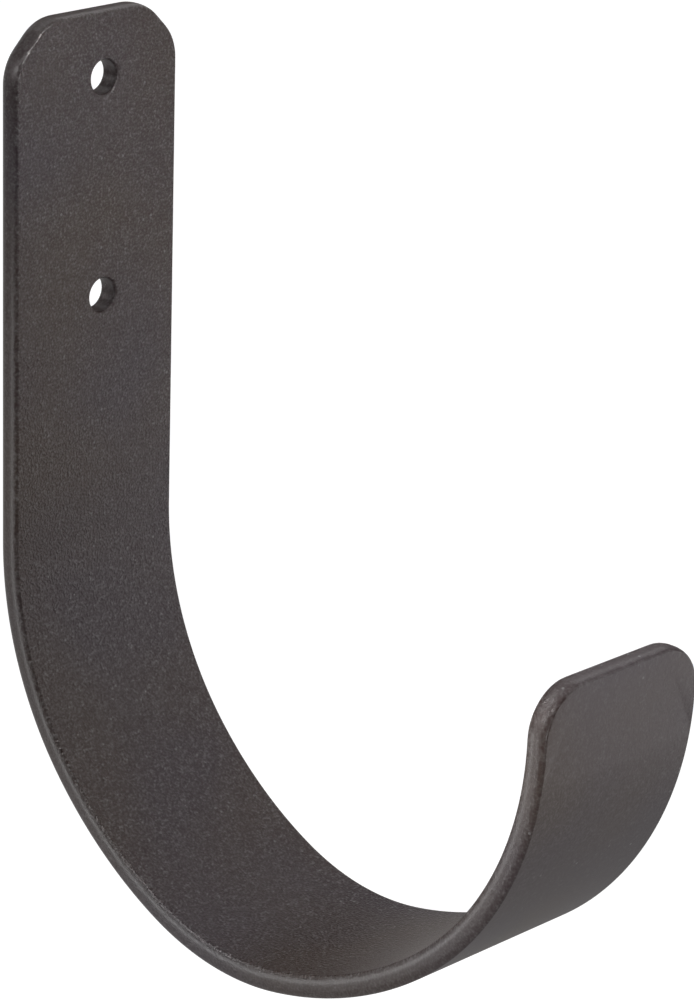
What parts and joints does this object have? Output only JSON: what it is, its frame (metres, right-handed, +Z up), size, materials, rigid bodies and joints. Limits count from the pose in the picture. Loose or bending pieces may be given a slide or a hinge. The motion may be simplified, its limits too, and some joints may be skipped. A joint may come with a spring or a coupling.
{
  "type": "wall hook",
  "caption": "Flat metal bar bent into a wide upturned J, with round screw holes in its upright plate, for hanging things on a wall.",
  "frame": {"origin": "on the wall face of the plate, midway between the two screw holes", "axes": "+Z up along the plate, -Y out from the wall towards the tip, +X across the bar to the side nearer the holes"},
  "size_m": [0.0299, 0.1007, 0.1246],
  "materials": {
    "coated_steel": "dark bronze grey powder coat, fine grained satin with a metallic fleck"
  },
  "bodies": {
    "root": {"hook": "coated_steel"}
  },
  "joints": []
}
